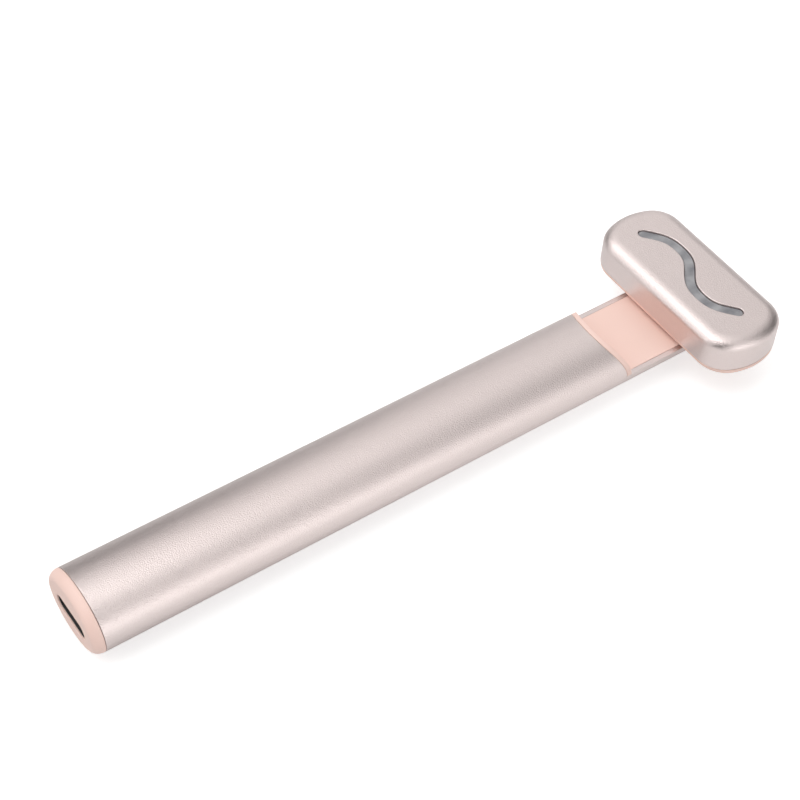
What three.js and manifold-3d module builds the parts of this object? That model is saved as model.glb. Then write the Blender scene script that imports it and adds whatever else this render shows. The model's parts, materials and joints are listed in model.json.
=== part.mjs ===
// Heated eye massager wand: an oval aluminium handle, half-lapped at its front end, with a flat head that
// swivels on a hollow pivot above the lap. The head holds a heated plate with a wave-shaped light window.
//
// Millimetres, +Z up. Below, X runs from the tail rim of the tube (0) to the head, Y is across, and Z is 0
// on the lap plane, at half the height of the oval. The whole group is then moved so that its origin is
// the bottom centre of its bounding box.

import * as THREE from 'three';
import { mergeVertices } from 'three/addons/utils/BufferGeometryUtils.js';
import Module from 'manifold-3d';

const wasm = await Module();
wasm.setup();

// Handle

const handleWidth = 18.0;
const handleHeight = 13.0;
const tubeWall = 1.05;
const crownLength = 110.15;     // tail rim to the arc cut, along the top of the tube
const shoulderRadius = 13.2;    // of the arc cut in plan, concave towards the head
const bandWidth = 1.1;          // pink band between the metal edge and the recess
const edgeBulge = 2.15;         // how far the end caps stand out of the tube
const edgeInset = 1.6;          // how far their rounded edge draws in

// Head

const neckReach = 25.8;         // from the crown of the arc cut to the swivel axis
const headLength = 41.6;
const headWidth = 18.0;
const headCorner = 6.3;
const headBow = 13.1;           // radius of the bowed ends in plan
const headHeight = 8.14;
const headGap = 0.7;            // between the deck and the underside of the head
const headEdge = 2.1;           // radius round the upper edge
const bandHeight = 1.0;         // pink base that shows under the metal shell
const bandStep = 0.25;          // the base is this much narrower than the shell on each long side
const bandEdge = 0.4;           // radius round the lower edge of the base
const shellWall = 1.0;
const shellTop = 0.9;

// Wave-shaped light window, a sine with a little of its third harmonic

const waveAmplitude = 2.8;
const waveFlattening = 0.195;
const wavePitch = 24.9;
const waveSpan = 26.86;
const waveShift = 0.41;
const windowWidth = 2.15;
const windowRecess = 0.3;
const guideLip = 0.9;           // flange of the light guide on each side of the window
const guideLipHeight = 0.8;

// Clearances

const seat = 0.05;              // parts soldered, glued or screwed down
const fit = 0.15;               // moulded parts that sit in one another
const seam = 0.1;               // joints that show
const running = 0.25;           // parts that turn
const pivotFit = 0.1;           // the swivel stud in its hole

// Charging port

const portWidth = 9.9;
const portHeight = 3.4;
const portDrop = 0.6;           // below the middle of the end
const socketWidth = 8.94;
const socketHeight = 3.2;
const socketLength = 7.3;
const socketWall = 0.3;
const socketRecess = 0.1;
const portLead = 0.12;          // chamfer round the mouth of the slot
const tongueWidth = 6.7;
const tongueThickness = 0.7;
const socketBlock = 2.6;        // solid rear part of the tongue moulding

// Inside the handle

const capPlug = 3.5;
const capWall = 1.2;
const chassisRail = 2.8;        // height of the side rails above the floor
const railRoot = 0.35;
const chassisTongue = 3.2;      // floor that runs on under the bulkhead
const stopWall = 1.0;
const stopWallHeight = 3.2;
const boardLength = 34;
const boardThickness = 1.0;
const chargeChipSize = [3, 3, 0.8];
const chargeChipX = 7;          // each chip's middle from the tail end of the board
const controllerSize = [5, 5, 0.9];
const controllerX = 14;
const inductorSize = [4, 4, 2];
const inductorX = 21.5;
const cellHeight = 5.6;
const cellCorner = 1.2;
const padWidth = 6;
const motorRadius = 3.0;
const motorLength = 10;
const motorChamfer = 0.4;
const sleeveWall = 0.6;
const sleeveLength = 7.5;
const saddleWall = 1.0;         // the two walls that the motor's sleeve lies in
const saddleRoom = 1.0;         // between each saddle and the end of the sleeve
const shaftRadius = 0.5;
const shaftDepth = 2.0;
const weightLength = 3.0;
const weightRadius = 2.7;
const weightHub = 1.1;
const weightGap = 0.8;          // between the motor and the weight
const motorRoom = 1.3;          // free length before and behind the motor
const leadRadius = 0.3;
const harnessRadius = 0.5;

// Small fasteners

const screwHeadRadius = 1.3;
const screwHeadHeight = 0.8;
const screwRadius = 0.7;
const screwHole = 0.85;

// Neck and swivel

const plugLength = 6;           // part of the neck that goes into the tube
const plugWall = 1.3;
const bulkheadThickness = 2.0;
const deckThickness = 2.0;
const deckGap = 0.1;            // fine gap between the deck and each rail
const webWall = 1.5;
const noseInset = 0.45;         // the nose ends this far inside the edge of the head
const noseWall = 1.6;
const studBore = 2.1;
const studRadius = 3.2;
const studFlangeRadius = 4.6;
const studFlangeHeight = 1.0;
const studTail = 0.35;
const ringGrooveRadius = 2.6;
const ringRadius = 4.3;
const ringThickness = 0.5;
const ringMouth = 40;           // degrees
const washerRadius = 4.3;
const waveWasherThickness = 0.25;
const waveWasherLift = 0.12;
const swivelTurn = 90;          // degrees each way
const stopRadius = 5.4;
const stopPinRadius = 0.7;
const stopGrooveDepth = 1.4;
const stopPinDepth = 1.1;
const magnetRadius = 1.5;
const magnetHeight = 1.1;
const magnetReach = 5.6;
const sensorSize = [1.6, 3.0, 0.8];
const neckBoardSize = [6.0, 8.4, 0.6];
const neckBoardInset = 0.5;     // from the retaining ring to the neck board
const stakeRadius = 0.6;
const stakeReach = 3.1;         // of each heat-staked pin from the middle of the neck board

// Inside the head

const baseFloor = 1.6;
const baseWall = 1.0;
const spigotHeight = 1.3;       // above the base floor
const postSide = 2.4;
const ledBoardThickness = 1.0;
const ledBoardMargin = 0.6;
const ledSize = [2.0, 1.6, 0.8];
const ledCount = 6;
const ledPitch = 4.15;
const ledShift = 0.2;           // of the row along the wave
const ledGap = 0.2;
const filmThickness = 0.2;
const filmMargin = 1.2;
const filmGap = 0.35;
const thermistorSize = [0.8, 1.6, 0.7];
const thermistorReach = 4.6;
const fingerThickness = 0.25;
const fingerWidth = 2.0;
const fingerFoot = 2.0;
const fingerRise = 0.9;

// Places worked out from the sizes

const tubeHalf = [handleWidth / 2, handleHeight / 2];
const boreHalf = tubeHalf.map((half) => half - tubeWall);
const headCentre = crownLength + neckReach;
const noseEnd = headCentre + headWidth / 2 - noseInset;
const tubeFront = noseEnd - edgeBulge;
const recessStart = crownLength + bandWidth;
const plugStart = recessStart - bulkheadThickness - plugLength;
const socketCentre = -portDrop;
const socketStart = -edgeBulge + socketRecess;
const socketEnd = socketStart + socketLength;
const boardTop = socketCentre - socketHeight / 2 - seat;
const floorTop = boardTop - boardThickness - seat;
const boardStart = capPlug + 0.4;
const boardEnd = boardStart + boardLength;
const motorFront = plugStart - motorRoom - weightLength - weightGap;
const motorBack = motorFront - motorLength;
const motorAxis = floorTop + seam + motorRadius + seam + sleeveWall;
const motorWallStart = motorBack - motorRoom - stopWall;
const cellStart = boardEnd + stopWall + 3 * fit;
const cellEnd = motorWallStart - fit;
const cellLow = floorTop + 2 * fit;
const cellTop = cellLow + cellHeight;
const railTop = floorTop + chassisRail;
const headLow = headGap;
const headTop = headLow + headHeight;
const plateUnder = headTop - shellTop;
const baseTop = headLow + baseFloor;
const lipLow = plateUnder - seat - guideLipHeight;
const ledBoardTop = lipLow - ledGap - ledSize[2];
const ledBoardLow = ledBoardTop - ledBoardThickness;
const deckUnder = -deckThickness;
const ringTop = deckUnder - 2 * seat - waveWasherThickness - 2 * waveWasherLift;
const ringLow = ringTop - ringThickness;
const studLow = ringLow - studTail;

function boreHalfWidthAt(z) {
  return boreHalf[0] * Math.sqrt(Math.max(0, 1 - (z / boreHalf[1]) ** 2));
}

function boreHeightAt(y) {
  return boreHalf[1] * Math.sqrt(Math.max(0, 1 - (y / boreHalf[0]) ** 2));
}

const channelHalf = boreHalfWidthAt(floorTop) - fit - railRoot;

// Solids

const AXES = {
  x: new THREE.Matrix4().makeBasis(
    new THREE.Vector3(0, 1, 0), new THREE.Vector3(0, 0, 1), new THREE.Vector3(1, 0, 0)),
  z: new THREE.Matrix4(),
};

// A three.js geometry as a solid that can be cut and joined.
function solid(geometry) {
  const bare = new THREE.BufferGeometry();
  bare.setAttribute('position', geometry.getAttribute('position').clone());
  if (geometry.index) bare.setIndex(geometry.index.clone());
  const merged = mergeVertices(bare, 1e-4);
  const index = [];
  for (let i = 0; i < merged.index.count; i += 3) {
    const [a, b, c] = [0, 1, 2].map((k) => merged.index.getX(i + k));
    if (a !== b && b !== c && c !== a) index.push(a, b, c);
  }
  return new wasm.Manifold(new wasm.Mesh({
    numProp: 3,
    vertProperties: new Float32Array(merged.getAttribute('position').array),
    triVerts: new Uint32Array(index),
  }));
}

function geometryOf(shape) {
  const mesh = shape.getMesh();
  const geometry = new THREE.BufferGeometry();
  geometry.setAttribute('position', new THREE.BufferAttribute(new Float32Array(mesh.vertProperties), 3));
  geometry.setIndex(new THREE.BufferAttribute(new Uint32Array(mesh.triVerts), 1));
  return geometry;
}

// An outline pulled along X (drawn in Y and Z) or along Z (drawn in X and Y).
function prism(outline, axis, from, to) {
  const geometry = new THREE.ExtrudeGeometry(outline, { depth: to - from, bevelEnabled: false });
  geometry.translate(0, 0, from);
  geometry.applyMatrix4(AXES[axis]);
  return solid(geometry);
}

// A closed body through a stack of rings with the same number of points.
function skin(rings) {
  const count = rings[0].length;
  const positions = rings.flat().flatMap((point) => point.toArray());
  const index = [];
  for (let r = 0; r + 1 < rings.length; r += 1) {
    for (let i = 0; i < count; i += 1) {
      const a = r * count + i;
      const b = r * count + (i + 1) % count;
      index.push(a, b, a + count, b, b + count, a + count);
    }
  }
  const last = (rings.length - 1) * count;
  for (let i = 1; i + 1 < count; i += 1) {
    index.push(0, i + 1, i, last, last + i, last + i + 1);
  }
  const geometry = new THREE.BufferGeometry();
  geometry.setAttribute('position', new THREE.Float32BufferAttribute(positions, 3));
  geometry.setIndex(index);
  return solid(geometry);
}

// A turned body from [radius, height] pairs, listed up its outer side, standing along Z or lying along X.
function turned(profile, axis = 'z', segments = 32) {
  const points = profile.map(([radius, height]) => new THREE.Vector2(radius, height));
  const geometry = new THREE.LatheGeometry(points, segments);
  geometry.rotateX(Math.PI / 2);
  geometry.applyMatrix4(AXES[axis]);
  return solid(geometry);
}

function disc(radius, low, high, axis = 'z', segments = 32) {
  return turned([[0, low], [radius, low], [radius, high], [0, high]], axis, segments);
}

function block(x0, x1, y0, y1, z0, z1) {
  const geometry = new THREE.BoxGeometry(x1 - x0, y1 - y0, z1 - z0);
  geometry.translate((x0 + x1) / 2, (y0 + y1) / 2, (z0 + z1) / 2);
  return solid(geometry);
}

// A block of the given size that stands on 0.
function chip(size) {
  return block(-size[0] / 2, size[0] / 2, -size[1] / 2, size[1] / 2, 0, size[2]);
}

function wire(points, radius, steps) {
  const section = new THREE.Shape();
  section.absarc(0, 0, radius, 0, 2 * Math.PI);
  const path = new THREE.CatmullRomCurve3(points.map((p) => new THREE.Vector3(...p)), false, 'centripetal');
  return solid(new THREE.ExtrudeGeometry(section, { steps, curveSegments: 3, extrudePath: path }));
}

// Outlines

const OVAL_POINTS = 56;
const CORNER_STEPS = 6;
const BOW_STEPS = 3;
const EDGE_STEPS = 5;

function ovalPoints(half, x) {
  return Array.from({ length: OVAL_POINTS }, (_, i) => {
    const turn = (2 * Math.PI * i) / OVAL_POINTS;
    return new THREE.Vector3(x, half[0] * Math.cos(turn), half[1] * Math.sin(turn));
  });
}

function ovalShape(half) {
  return new THREE.Shape(ovalPoints(half, 0).map((p) => new THREE.Vector2(p.y, p.z)));
}

function ovalPrism(half, from, to) {
  return prism(ovalShape(half), 'x', from, to);
}

// What follows down to the finishes is drawn round the swivel axis wherever it belongs to the head.
// The plan of the head, drawn in by inset and on its long sides by step more: straight sides, bowed ends
// and round corners that run into both.
function headOutline(inset, step = 0) {
  const bow = headBow - inset;
  const corner = Math.max(headCorner - inset, 0.2);
  const half = headWidth / 2 - inset - step;
  const lean = Math.asin((half - corner) / (bow - corner));
  const bowY = headLength / 2 - headBow;
  const cornerY = bowY + (bow - corner) * Math.cos(lean);
  const quarter = [];
  for (let i = 0; i <= CORNER_STEPS; i += 1) {
    const turn = (i / CORNER_STEPS) * (Math.PI / 2 - lean);
    quarter.push([half - corner + corner * Math.cos(turn), cornerY + corner * Math.sin(turn)]);
  }
  for (let i = 1; i <= BOW_STEPS; i += 1) {
    const turn = Math.PI / 2 - lean * (1 - i / BOW_STEPS);
    quarter.push([i < BOW_STEPS ? bow * Math.cos(turn) : 0, bowY + bow * Math.sin(turn)]);
  }
  const back = quarter.slice(0, -1).reverse();
  return [
    ...quarter, ...back.map(([x, y]) => [-x, y]), ...quarter.map(([x, y]) => [-x, -y]),
    ...back.map(([x, y]) => [x, -y]),
  ].map(([x, y]) => new THREE.Vector2(x, y));
}

function headPrism(inset, low, high) {
  return prism(new THREE.Shape(headOutline(inset)), 'z', low, high);
}

// A body through outlines of the head, listed upwards as [inset, height].
function headStack(levels, step = 0) {
  return skin(levels.map(([inset, z]) => headOutline(inset, step)
    .map((p) => new THREE.Vector3(p.x, p.y, z))));
}

// How far a round edge of this radius has drawn in and risen, from its start to its end.
function edgeRound(radius) {
  return Array.from({ length: EDGE_STEPS + 1 }, (_, i) => {
    const turn = (i / EDGE_STEPS) * (Math.PI / 2);
    return [radius * (1 - Math.cos(turn)), radius * Math.sin(turn)];
  });
}

// The outline of the head from low to high, with its upper edge rounded by radius.
function roundedHead(inset, low, high, radius) {
  return headStack([[inset, low],
    ...edgeRound(radius).map(([drawn, rise]) => [inset + drawn, high - radius + rise])]);
}

function rounded(width, height, radius) {
  const shape = new THREE.Shape();
  const [w, h] = [width / 2 - radius, height / 2 - radius];
  shape.absarc(w, h, radius, 0, Math.PI / 2);
  shape.absarc(-w, h, radius, Math.PI / 2, Math.PI);
  shape.absarc(-w, -h, radius, Math.PI, 1.5 * Math.PI);
  shape.absarc(w, -h, radius, 1.5 * Math.PI, 2 * Math.PI);
  return shape;
}

// A rounded rectangle in Y and Z, centred on height z, pulled along X.
function barAlongX(width, height, radius, z, from, to, curveSegments = 5) {
  const geometry = new THREE.ExtrudeGeometry(rounded(width, height, radius),
    { depth: to - from, bevelEnabled: false, curveSegments });
  geometry.translate(0, z, from);
  geometry.applyMatrix4(AXES.x);
  return solid(geometry);
}

// The space in front of the arc cut, from the lap plane up. Shift moves the arc towards the head.
function recess(shift, low) {
  const reach = handleWidth / 2 + 1;
  const span = Math.asin(Math.min(reach / shoulderRadius, 1));
  const centre = crownLength + shift + shoulderRadius;
  const outline = new THREE.Shape();
  outline.moveTo(noseEnd + 2, -reach);
  outline.lineTo(noseEnd + 2, reach);
  outline.absarc(centre, 0, shoulderRadius, Math.PI - span, Math.PI + span, false);
  const geometry = new THREE.ExtrudeGeometry(outline,
    { depth: handleHeight, bevelEnabled: false, curveSegments: 24 });
  geometry.translate(0, 0, low);
  return solid(geometry);
}

// The edge of an end cap: the tube's oval, drawn in along a quarter of an ellipse. Towards is -1 or 1.
function roundedEnd(from, towards) {
  const depth = edgeBulge - seam;
  const rings = edgeRound(1).map(([drawn, rise]) => (
    ovalPoints(tubeHalf.map((half) => half - edgeInset * drawn), from + towards * depth * rise)));
  return skin(towards < 0 ? rings.reverse() : rings);
}

function waveAt(y) {
  const turn = (2 * Math.PI * (y - waveShift)) / wavePitch;
  return waveAmplitude * Math.sin(turn) + waveFlattening * Math.sin(3 * turn);
}

// The window's wave as a band with round ends.
function waveBand(halfWidth, low, high) {
  const steps = 36;
  const sides = [[], []];
  const step = waveSpan / steps;
  const angleAt = (y) => Math.atan2(2 * step, waveAt(y + step) - waveAt(y - step));
  for (let i = 0; i <= steps; i += 1) {
    const y = waveShift - waveSpan / 2 + i * step;
    const angle = angleAt(y);
    sides.forEach((side, k) => {
      const turn = angle + (k ? Math.PI / 2 : -Math.PI / 2);
      side.push(new THREE.Vector2(waveAt(y) + halfWidth * Math.cos(turn), y + halfWidth * Math.sin(turn)));
    });
  }
  const end = (y, start) => Array.from({ length: 7 }, (_, i) => {
    const turn = start + ((i + 1) / 8) * Math.PI;
    return new THREE.Vector2(waveAt(y) + halfWidth * Math.cos(turn), y + halfWidth * Math.sin(turn));
  });
  const far = waveShift + waveSpan / 2;
  const near = waveShift - waveSpan / 2;
  const outline = [
    ...sides[0], ...end(far, angleAt(far) - Math.PI / 2),
    ...sides[1].reverse(), ...end(near, angleAt(near) + Math.PI / 2),
  ];
  return prism(new THREE.Shape(outline), 'z', low, high);
}

// Finishes

function finish(color, roughness, metalness) {
  return new THREE.MeshStandardMaterial({ color, roughness, metalness });
}

const roseAluminium = finish(0xd9cac6, 0.4, 1);
const pinkPlastic = finish(0xf0cfc2, 0.45, 0);
const greyGuide = finish(0x8f9296, 0.35, 0);
const blackPlastic = finish(0x26272a, 0.5, 0);
const whitePlastic = finish(0xe6e4df, 0.5, 0);
const steel = finish(0xb9bcc0, 0.3, 1);
const brass = finish(0xc8a860, 0.3, 1);
const copper = finish(0xb87450, 0.4, 1);
const greenBoard = finish(0x2f6b45, 0.5, 0);
const silverFoil = finish(0xc9ccd0, 0.35, 0.8);
const rubberGrey = finish(0x4a4b4e, 0.8, 0);
const redWire = finish(0xb5312c, 0.5, 0);
const amberFilm = finish(0xb9772a, 0.4, 0);

const wand = new THREE.Group();

function group(parent, x, z = 0) {
  const child = new THREE.Group();
  child.position.set(x, 0, z);
  parent.add(child);
  return child;
}

function add(parent, name, shape, material, at = [0, 0, 0]) {
  const mesh = new THREE.Mesh(geometryOf(shape), material.clone());
  mesh.name = name;
  mesh.position.set(...at);
  parent.add(mesh);
  return mesh;
}

// Outer casing of the handle

function handleTube() {
  const shell = ovalPrism(tubeHalf, 0, tubeFront).subtract(ovalPrism(boreHalf, -1, tubeFront + 1));
  return shell.subtract(recess(0, 0));
}

function tailCap() {
  const plugHalf = boreHalf.map((half) => half - fit);
  const plug = ovalPrism(plugHalf, -seam * 2, capPlug)
    .subtract(ovalPrism(plugHalf.map((half) => half - capWall), seam, capPlug + 1));
  const port = barAlongX(portWidth, portHeight, portHeight / 2, socketCentre, -edgeBulge - 1, 1);
  const lead = skin([portRing(2 * portLead, -edgeBulge - portLead), portRing(0, -edgeBulge + portLead)]);
  return roundedEnd(-seam, -1).add(plug).subtract(port).subtract(lead);
}

// The outline of the charging slot at x, wider by grow all round.
function portRing(grow, x) {
  const radius = portHeight / 2;
  return rounded(portWidth + 2 * grow, 2 * (radius + grow), radius + grow).getPoints(5)
    .slice(0, -1)
    .map((p) => new THREE.Vector3(x, p.x, p.y + socketCentre));
}

// Band, bulkhead, deck and nose in one moulding. The deck lies level with the cut edges of the tube.
function neckInsert() {
  const insideHalf = [boreHalf[0] - deckGap, boreHalf[1] - fit];
  const cut = recess(bandWidth, 0);
  const band = ovalPrism(tubeHalf, crownLength - 1, noseEnd)
    .intersect(recess(seam, seam))
    .subtract(cut);
  const insert = ovalPrism(insideHalf, plugStart, tubeFront + seam * 2).subtract(cut);
  const plugRoom = ovalPrism(insideHalf.map((half) => half - plugWall), plugStart - 1,
    plugStart + plugLength);
  const underside = block(plugStart - 1, noseEnd - noseWall, -boreHalf[0] + webWall + deckGap,
    boreHalf[0] - webWall - deckGap, -handleHeight, deckUnder);
  const nose = roundedEnd(tubeFront + seam, 1)
    .subtract(block(tubeFront - 1, noseEnd + 2, -handleWidth, handleWidth, 0, handleHeight));
  const stakes = [-1, 1].map((side) => disc(stakeRadius, neckBoardLow - 0.4, deckUnder + 0.2, 'z', 12)
    .translate([headCentre - neckBoardReach, side * stakeReach, 0]));
  return insert.add(band).subtract(plugRoom).subtract(underside).add(nose)
    .add(stakes[0])
    .add(stakes[1])
    .subtract(swivelHole())
    .subtract(stopGroove())
    .subtract(disc(screwHole, deckUnder - 1, -0.6).translate([neckScrewX, 0, 0]));
}

const neckScrewX = plugStart + plugLength / 2;

function swivelHole() {
  return disc(studRadius + pivotFit, deckUnder - 1, 1).translate([headCentre, 0, 0]);
}

// The pin of the head runs in this groove, whose ends stop the swivel.
function stopGroove() {
  const half = stopPinRadius + running;
  const reach = THREE.MathUtils.degToRad(swivelTurn) + half / stopRadius + 0.06;
  const outline = new THREE.Shape();
  outline.absarc(0, 0, stopRadius + half, -reach, reach, false);
  outline.absarc(0, 0, stopRadius - half, reach, -reach, true);
  const geometry = new THREE.ExtrudeGeometry(outline,
    { depth: stopGrooveDepth + 1, bevelEnabled: false, curveSegments: 24 });
  geometry.translate(headCentre, 0, -stopGrooveDepth);
  return solid(geometry);
}

// Charging port and electronics

function usbShell() {
  const outer = barAlongX(socketWidth, socketHeight, socketHeight / 2 - 0.1, socketCentre,
    socketStart, socketEnd);
  const inner = barAlongX(socketWidth - 2 * socketWall, socketHeight - 2 * socketWall,
    socketHeight / 2 - 0.1 - socketWall, socketCentre, socketStart - 1, socketEnd + 1);
  return outer.subtract(inner);
}

function usbTongue() {
  const play = socketWall + seat;
  const blockPart = barAlongX(socketWidth - 2 * play, socketHeight - 2 * play,
    socketHeight / 2 - 0.1 - play, socketCentre, socketEnd - socketBlock, socketEnd);
  return blockPart.add(block(socketStart + 0.8, socketEnd - socketBlock + 0.1, -tongueWidth / 2,
    tongueWidth / 2, socketCentre - tongueThickness / 2, socketCentre + tongueThickness / 2));
}

const chassisScrewSeat = -boreHalf[1] + fit + screwHeadHeight + 0.1;
const chassisScrewLength = 3.6;
const boardScrewX = boardEnd - 3.2;
const boardScrewY = channelHalf - fit - screwHeadRadius - 0.2;
const boardScrewTip = fit + seat - boreHeightAt(boardScrewY + screwRadius);

function mainBoard() {
  const half = channelHalf - fit;
  let board = block(boardStart, boardEnd, -half, half, boardTop - boardThickness, boardTop);
  for (const side of [-1, 1]) {
    board = board.subtract(disc(screwHole, boardTop - 2, boardTop + 1, 'z', 16)
      .translate([boardScrewX, side * boardScrewY, 0]));
  }
  return board;
}

// A pan-head screw that stands with the underside of its head on 0.
function screw(length) {
  const [r, h] = [screwHeadRadius, screwHeadHeight];
  return turned([
    [0, -length], [screwRadius, -length], [screwRadius, 0], [r, 0], [r, h * 0.6], [r * 0.7, h], [0, h],
  ], 'z', 16);
}

// Lower half of the bore as a sled, with a channel for the board and the cell.
function chassis() {
  const outerHalf = boreHalf.map((half) => half - fit);
  const front = plugStart + plugLength + chassisTongue;
  const start = boardStart - fit;
  const wide = handleWidth;
  let body = ovalPrism(outerHalf, start, front)
    .subtract(block(start - 1, front + 1, -wide, wide, railTop, handleHeight))
    .subtract(block(start - 1, motorFront, -channelHalf, channelHalf, floorTop, handleHeight))
    .subtract(block(motorFront, front + 1, -wide, wide, floorTop, handleHeight));
  const wallHalf = channelHalf - 0.1;
  for (const [x, height] of [[boardEnd + fit, stopWallHeight], [motorWallStart, stopWallHeight]]) {
    body = body.add(block(x, x + stopWall, -wallHalf - 0.2, wallHalf + 0.2, floorTop - 0.2,
      floorTop + height));
  }
  const sleeveFrom = motorFront - (motorLength + sleeveLength) / 2;
  for (const x of [sleeveFrom + saddleRoom, sleeveFrom + sleeveLength - saddleRoom - saddleWall]) {
    body = body.add(block(x, x + saddleWall, -wallHalf - 0.2, wallHalf + 0.2, floorTop - 0.2, motorAxis)
      .subtract(disc(motorRadius + seam + sleeveWall + seam, x - 1, x + 2, 'x').translate([0, 0, motorAxis])));
  }
  for (const side of [-1, 1]) {
    body = body.subtract(disc(screwHole, floorTop - 1.3, floorTop + 1, 'z', 16)
      .translate([boardScrewX, side * boardScrewY, 0]));
  }
  const screwSeat = disc(screwHeadRadius + fit, -handleHeight, chassisScrewSeat, 'z', 16)
    .translate([neckScrewX, 0, 0]);
  const slimFront = block(plugStart - fit, front + 1, -wide, wide, -handleHeight, handleHeight)
    .subtract(block(plugStart - 1, front + 2, -screwHeadRadius - 1, screwHeadRadius + 1,
      -handleHeight, handleHeight));
  return body.subtract(slimFront).subtract(screwSeat)
    .subtract(disc(screwHole, -handleHeight, handleHeight, 'z', 16).translate([neckScrewX, 0, 0]));
}

// Cell, foam and motor

function batteryCell() {
  return barAlongX(2 * (channelHalf - fit), cellHeight, cellCorner, (cellLow + cellTop) / 2,
    cellStart, cellEnd, 3);
}

function cellPad() {
  const low = cellTop + fit;
  const shape = new THREE.Shape();
  const half = padWidth / 2;
  const topAt = (y) => boreHeightAt(y) - fit;
  shape.moveTo(-half, low);
  shape.lineTo(half, low);
  for (let i = 0; i <= 8; i += 1) {
    const y = half - (i / 8) * padWidth;
    shape.lineTo(y, topAt(y) - 0.05);
  }
  return prism(shape, 'x', cellStart + 4, cellEnd - 4);
}

// The motor and its weight are drawn from the front face of the motor, 0, with the can behind it.
function motorCan() {
  const r = motorRadius;
  const bore = shaftRadius + pivotFit;
  return turned([
    [0, -motorLength], [r - motorChamfer, -motorLength], [r, motorChamfer - motorLength],
    [r, -motorChamfer], [r - motorChamfer, 0], [bore, 0],
    [bore, -shaftDepth - fit], [0, -shaftDepth - fit],
  ], 'x');
}

function motorSleeve() {
  const inner = motorRadius + seam;
  const outer = inner + sleeveWall;
  const from = -(motorLength + sleeveLength) / 2;
  const to = from + sleeveLength;
  return turned([[inner, from], [outer, from], [outer, to], [inner, to], [inner, from]], 'x');
}

// The weight hangs below the shaft at rest.
function eccentricWeight() {
  const shape = new THREE.Shape();
  shape.absarc(0, 0, weightRadius, Math.PI, 2 * Math.PI, false);
  shape.absarc(0, 0, weightHub, 0, Math.PI, false);
  const hole = new THREE.Path();
  hole.absarc(0, 0, shaftRadius + seat, 0, 2 * Math.PI, true);
  shape.holes.push(hole);
  return prism(shape, 'x', weightGap, weightGap + weightLength);
}

// Wires

const sideRun = channelHalf + fit + harnessRadius;

// From the board over the side rail, under the bulkhead and up through the hollow pivot.
function headHarness() {
  const height = railTop + 0.5 + harnessRadius;
  const low = -boreHalf[1] + 0.2 + harnessRadius;
  const under = deckUnder - fit - harnessRadius;
  const turn = 1.5;
  return wire([
    [boardEnd - 9, 3.4, boardTop + 0.4 + harnessRadius],
    [boardEnd - 7, 3.4, boardTop + 1.4 + harnessRadius],
    [boardEnd - 3.5, 4.5, height],
    [boardEnd + 0.2, sideRun - 0.1, height + 0.1],
    [cellStart + 5, sideRun, height],
    [(cellStart + cellEnd) / 2, sideRun, height],
    [cellEnd - 8, sideRun, height],
    [motorFront - 1, sideRun, height],
    [plugStart - 1.5, 3.6, under],
    [plugStart + 2, 3.4, under],
    [plugStart + plugLength + chassisTongue, 2.6, under],
    [plugStart + plugLength + chassisTongue + 4, 1.2, (under + low) / 2],
    [headCentre - 10, 0, low],
    [headCentre - 4, 0, low],
    [headCentre - turn, 0, low + 0.05],
    [headCentre - turn * 0.3, 0, low + turn * 0.3],
    [headCentre, 0, low + turn],
    [headCentre, 0, (low + ledBoardLow) / 2],
    [headCentre, 0, ledBoardLow - fit],
  ], harnessRadius, 56);
}

function motorLead(order) {
  const rise = 3.2 * leadRadius * order;
  const height = railTop + 0.4 + leadRadius + rise;
  const y = -3.6 + 1.6 * order;
  return wire([
    [motorBack - 0.2, -1.2, motorAxis + 2 * rise],
    [motorBack - 0.8, -2.2, motorAxis + 2 * rise],
    [motorBack - 1.1, -4.9, motorAxis + 1.5 * rise],
    [motorWallStart - 0.9, -sideRun, height],
    [(cellStart + cellEnd) / 2, -sideRun, height],
    [cellStart + 3, -sideRun, height],
    [boardEnd + 0.4, -sideRun + 0.2, height],
    [boardEnd - 3.5, -4.6 + order, height],
    [boardEnd - 6.6, y, boardTop + 1.5],
    [boardEnd - 7.4, y, boardTop + 0.8],
    [boardEnd - 7.6, y, boardTop + 0.25],
  ], leadRadius, 30);
}

function batteryLead(y) {
  return wire([
    [cellStart - 0.1, y, cellTop - 1.6],
    [cellStart - 1.6, y, cellTop - 1.8],
    [boardEnd - 1.6, y, boardTop + 1.8],
    [boardEnd - 1.9, y, boardTop + 0.15],
  ], leadRadius, 12);
}

// Swivel

const neckBoardReach = ringRadius + neckBoardInset + neckBoardSize[0] / 2;
const neckBoardLow = deckUnder - seat - neckBoardSize[2];

function neckBoard() {
  let board = chip(neckBoardSize);
  for (const side of [-1, 1]) {
    board = board.subtract(disc(stakeRadius + seam, -1, 2, 'z', 12).translate([0, side * stakeReach, 0]));
  }
  return board;
}

function swivelStud() {
  const flangeLow = baseTop + seat;
  const flangeTop = flangeLow + studFlangeHeight;
  return turned([
    [studBore, studLow], [studRadius, studLow], [studRadius, ringLow - seat],
    [ringGrooveRadius, ringLow - seat], [ringGrooveRadius, ringTop + seat], [studRadius, ringTop + seat],
    [studRadius, flangeLow], [studFlangeRadius, flangeLow], [studFlangeRadius, flangeTop],
    [studBore, flangeTop], [studBore, studLow],
  ]);
}

function retainingRing() {
  const mouth = THREE.MathUtils.degToRad(ringMouth / 2);
  const outline = new THREE.Shape();
  outline.absarc(0, 0, ringRadius, mouth, 2 * Math.PI - mouth, false);
  outline.absarc(0, 0, ringGrooveRadius + 0.1, 2 * Math.PI - mouth, mouth, true);
  const geometry = new THREE.ExtrudeGeometry(outline,
    { depth: ringThickness, bevelEnabled: false, curveSegments: 24 });
  geometry.translate(0, 0, ringLow);
  return solid(geometry);
}

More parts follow.
